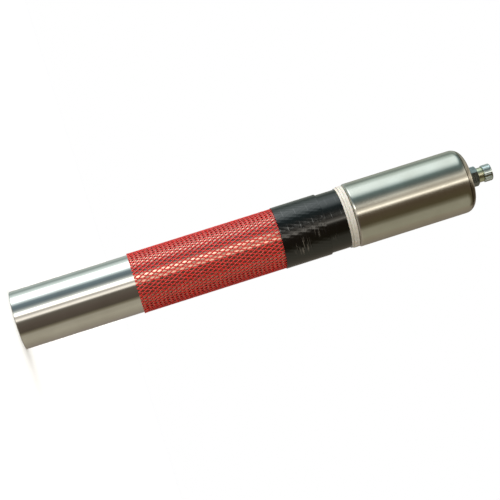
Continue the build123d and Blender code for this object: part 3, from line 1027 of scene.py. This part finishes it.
@dataclass
class SilencerStack:
    """Three cream rings that hold the tube's exhaust silencer."""

    inner_radius: float = 44.5
    inner_rounding: float = 0.15
    outer_rounding: float = 0.6
    rings: tuple[tuple[str, float, float, float], ...] = (
        ("silencer_ring_lower", 508.1, 511.6, 46.95),
        ("silencer_ring_middle", 511.7, 515.6, 47.95),
        ("silencer_ring_upper", 515.7, 519.9, 47.95),
    )

    def build(self) -> None:
        """Turns the rings with rounded edges."""
        for name, low, high, radius in self.rings:
            loop = softened(
                [
                    (self.inner_radius, low, self.inner_rounding), (radius, low, self.outer_rounding),
                    (radius, high, self.outer_rounding), (self.inner_radius, high, self.inner_rounding),
                ]
            )
            turned_piece(f"{name}_turned", loop, CREAM_RING, "barrel", name)


@dataclass
class Head(DressedPieces):
    """The head: a shell over the tube's end and a domed cap."""

    finishes: dict[str, Finish] = field(
        default_factory=lambda: {"head_shell": SATIN_HEAD_PAINTED_SEAM_SHADE, "head_cap": CAP_PAINTED_SHADE}
    )


@dataclass
class AirInlet(DressedPieces):
    """The threaded air connection at the head's end."""

    finishes: dict[str, Finish] = field(
        default_factory=lambda: {
            "inlet_washer": RUBBER,
            "inlet_bushing": DARK_ZINC,
            "inlet_adapter": YELLOW_ZINC,
            "swivel_nut": NICKEL,
            "swivel_clip": SPRING_STEEL,
            "nut_seal": RUBBER,
            "inlet_strainer": SINTERED,
        }
    )


@dataclass
class StrikingGear(DressedPieces):
    """Hammer, anvil and what guides them."""

    finishes: dict[str, Finish] = field(
        default_factory=lambda: {
            "strike_plate": TOOL_STEEL,
            "strike_plate_screw": SPRING_STEEL,
            "anvil": TOOL_STEEL,
            "seat_ring": TOOL_STEEL,
            "wiper_ring": POLYURETHANE,
            "bumper_ring": POLYURETHANE,
            "anvil_housing": BRONZE,
            "anvil_seal": RUBBER,
            "cylinder": HONED_STEEL,
            "hammer": TOOL_STEEL,
            "hammer_rings": SPRING_STEEL,
        }
    )


@dataclass
class ValveChest(DressedPieces):
    """The disc valve and its seats, pins, spring and seals."""

    finishes: dict[str, Finish] = field(
        default_factory=lambda: {
            "valve_seat": HONED_STEEL,
            "valve_cap": HONED_STEEL,
            "disc_valve": SPRING_STEEL,
            "dowel_pins": TOOL_STEEL,
            "disc_spring": SPRING_STEEL,
            "head_seal": RUBBER,
            "cap_seal": RUBBER,
        }
    )


# ---------------------------------------------------------------- studio


@dataclass
class Studio:
    """Pale floor, soft light and the camera."""

    floor_half: float = 6.0
    camera_place: tuple[float, float, float] = (0.0037, -2.0386, 0.2002)
    camera_lift_deg: float = 4.5
    camera_roll_deg: float = 72.47
    lens_mm: float = 98.0
    sensor_mm: float = 36.0
    view_reach: float = 50.0
    # Rise at which one light gives way to the next, as the Z of a direction of length 1.
    low_to_high: tuple[float, float] = (0.0, 0.16)
    underside: tuple[float, float] = (-0.9, -0.65)
    overhead: tuple[float, float] = (0.84, 0.92)
    underside_colour: str = "#a5a196"
    overhead_gain: float = 3.4
    # A dark flag among the strips: its middle and half its size, round and up.
    flag_colour: str = "#56544f"
    flag_round: tuple[float, float] = (0.433, 0.032)
    flag_rise: tuple[float, float] = (0.126, 0.025)
    # Strip lights and dark gaps, low down and higher up. Each lies at a number of degrees off
    # the YZ plane, + towards +X and more than 90 at the back; then come its colour and gain.
    low_strips: tuple[tuple[float, str, float], ...] = (
        (-180, "#8f8b80", 1.2),
        (-150, "#aab4b0", 1.27),
        (-128, "#8d9a97", 1.2),
        (-115, "#c4d0ce", 1.27),
        (-106, "#e0ebea", 1.27),
        (-96, "#f3fbfa", 2.7),
        (-76, "#eef7f8", 2.7),
        (-66, "#c3cfd1", 1.3),
        (-58, "#74838a", 1.15),
        (-46, "#67757a", 1.1),
        (-38, "#8a9192", 1.2),
        (-29, "#eef1ec", 1.2),
        (-25, "#fffffb", 3.0),
        (-21, "#fffff8", 3.0),
        (-15, "#d3cdc5", 1.3),
        (-11, "#a39d95", 1.35),
        (-4, "#ebe4da", 1.35),
        (1, "#f6efe4", 1.5),
        (6, "#8f8980", 1.0),
        (12, "#625b52", 1.1),
        (30, "#594f47", 1.1),
        (50, "#51493f", 1.1),
        (58, "#77705f", 1.2),
        (66, "#989283", 1.25),
        (90, "#9f9989", 1.27),
        (116, "#928b7c", 1.25),
        (150, "#847b72", 1.2),
        (180, "#8f8b80", 1.2),
    )
    high_strips: tuple[tuple[float, str, float], ...] = (
        (-180, "#7c7468", 1.5),
        (-150, "#8f978f", 1.5),
        (-128, "#74807b", 1.4),
        (-115, "#b2c0bc", 1.5),
        (-100, "#d6e3e3", 1.5),
        (-88, "#e2eeef", 1.55),
        (-70, "#d8e6e6", 1.5),
        (-62, "#b3c2c3", 1.5),
        (-54, "#647575", 1.4),
        (-47, "#566463", 1.4),
        (-38, "#5c6563", 1.4),
        (-29, "#94958e", 1.4),
        (-22, "#c4c2b8", 1.5),
        (-12, "#a69f92", 1.4),
        (-5, "#cfc9bc", 1.5),
        (0, "#fff8ea", 2.2),
        (5, "#a79f92", 1.4),
        (10, "#5a5145", 1.4),
        (20, "#4a3f31", 1.4),
        (47, "#49422f", 1.4),
        (58, "#686454", 1.5),
        (66, "#848172", 1.5),
        (90, "#888675", 1.5),
        (116, "#827b6c", 1.5),
        (150, "#726b60", 1.5),
        (180, "#7c7468", 1.5),
    )
    # The soft light on matt surfaces, at the same kind of angles.
    fill: tuple[tuple[float, str, float], ...] = (
        (-180, "#ffffff", 0.7),
        (-90, "#ffffff", 2.5),
        (-45, "#ffffff", 2.1),
        (0, "#fffaf2", 1.0),
        (45, "#ffedcc", 0.33),
        (90, "#ffdca8", 0.07),
        (180, "#ffffff", 0.7),
    )

    def world(self) -> None:
        """Builds the light: a white tent for the camera, softboxes for gloss, a soft fill."""
        world = bpy.data.worlds.new("studio")
        bpy.context.scene.world = world
        world.use_nodes = True
        tree = world.node_tree
        tree.nodes.clear()
        way = add_node(tree, "ShaderNodeTexCoord").outputs["Generated"]
        parts = add_node(tree, "ShaderNodeSeparateXYZ", {"Vector": way}).outputs
        rise = parts["Z"]
        across = vector_step(tree, "MULTIPLY", {0: way, 1: (0.0, 1.0, 1.0)})
        reach = vector_step(tree, "LENGTH", {0: across}, "Value")
        front = vector_step(tree, "DOT_PRODUCT", {0: way, 1: (0.0, -1.0, 1.0)}, "Value")
        facing = calculated(tree, "MULTIPLY", reach, calculated(tree, "SIGN", front))
        angle = calculated(tree, "ARCTAN2", parts["X"], facing)
        share = calculated(tree, "MULTIPLY_ADD", angle, 1 / TURN, 0.5)
        low, high, soft = [
            add_node(
                tree, "ShaderNodeValToRGB", {"Fac": share},
                stops=[(degrees / 360 + 0.5, colour, gain) for degrees, colour, gain in strips],
            ).outputs["Color"]
            for strips in (self.low_strips, self.high_strips, self.fill)
        ]
        gloss = mixed(tree, remapped(tree, rise, self.low_to_high, (0.0, 1.0)), low, high)
        flag_round = calculated(tree, "COMPARE", share, *self.flag_round)
        flag_rise = calculated(tree, "COMPARE", rise, *self.flag_rise)
        flag = calculated(tree, "MULTIPLY", flag_round, flag_rise)
        gloss = mixed(tree, flag, gloss, linear(self.flag_colour))
        below = remapped(tree, rise, self.underside, (1.0, 0.0))
        gloss = mixed(tree, below, gloss, linear(self.underside_colour))
        above = remapped(tree, rise, self.overhead, (0.0, 1.0))
        gain = self.overhead_gain
        tent = mixed(tree, above, soft, (gain, gain, gain, 1.0))
        path = add_node(tree, "ShaderNodeLightPath").outputs
        lit = mixed(tree, path["Is Diffuse Ray"], gloss, tent)
        seen = mixed(tree, path["Is Camera Ray"], lit, WHITE)
        light = add_node(tree, "ShaderNodeBackground", {"Color": seen, "Strength": 1.0})
        add_node(tree, "ShaderNodeOutputWorld", {"Surface": light.outputs["Background"]})

    def floor(self) -> None:
        """Lays the pale floor."""
        mesh = bpy.data.meshes.new("floor")
        half = self.floor_half
        corners = [(-half, -half, 0), (half, -half, 0), (half, half, 0), (-half, half, 0)]
        mesh.from_pydata(corners, [], [(0, 1, 2, 3)])
        mesh.materials.append(FLOOR.material())
        floor = bpy.data.objects.new("floor", mesh)
        bpy.context.scene.collection.objects.link(floor)
        floor.visible_glossy = False
        floor.visible_diffuse = False

    def camera(self) -> None:
        """Sets up the camera."""
        lens = bpy.data.cameras.new("camera")
        lens.lens = self.lens_mm
        lens.sensor_width = self.sensor_mm
        lens.clip_end = self.view_reach
        camera = bpy.data.objects.new("camera", lens)
        lift = Matrix.Rotation(math.radians(90 + self.camera_lift_deg), 4, "X")
        roll = Matrix.Rotation(math.radians(self.camera_roll_deg), 4, "Z")
        camera.matrix_world = Matrix.Translation(self.camera_place) @ lift @ roll
        bpy.context.scene.collection.objects.link(camera)
        bpy.context.scene.camera = camera

    def build(self) -> None:
        """Builds the studio."""
        self.world()
        self.floor()
        self.camera()
        bpy.context.scene.view_settings.view_transform = "Standard"
        LOG.info("studio ready")


def main() -> None:
    """Builds every sub-assembly in order."""
    logging.basicConfig(level=logging.INFO, format="%(name)s: %(message)s")
    assemblies = (
        Barrel(), Grip(), SilencerStack(), Head(), AirInlet(), StrikingGear(), ValveChest(), Studio()
    )
    for assembly in assemblies:
        LOG.info("building %s", type(assembly).__name__)
        assembly.build()


if __name__ == "__main__":
    main()
